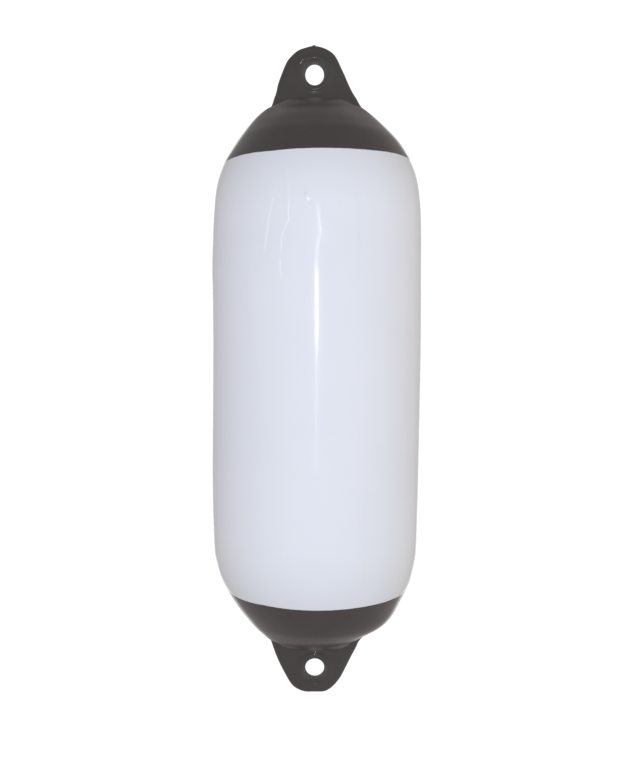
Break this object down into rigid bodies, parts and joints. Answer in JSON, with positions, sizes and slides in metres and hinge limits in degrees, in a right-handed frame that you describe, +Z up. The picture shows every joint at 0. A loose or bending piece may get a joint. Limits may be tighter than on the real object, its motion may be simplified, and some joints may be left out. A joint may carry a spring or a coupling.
{
  "type": "boat fender",
  "caption": "Inflatable cylindrical boat fender with domed dark ends, each with a flat moulded lug and a rope eye.",
  "frame": {"origin": "centre of the top rope eye, halfway through the lug", "axes": "+Z up along the fender's length, from the bottom eye to the top one; Y along the eyes' axes, with the pictured side at -Y; X across the lugs"},
  "size_m": [0.2099, 0.2092, 0.6488],
  "materials": {
    "vinyl_skin": "glossy soft vinyl, white along the body and charcoal over both ends and lugs",
    "valve_bush": "satin black moulded plastic",
    "valve_screw": "satin off-white moulded plastic"
  },
  "bodies": {
    "root": {"fender_skin": "vinyl_skin", "valve_body": "valve_bush", "valve_plug": "valve_screw"}
  },
  "joints": []
}
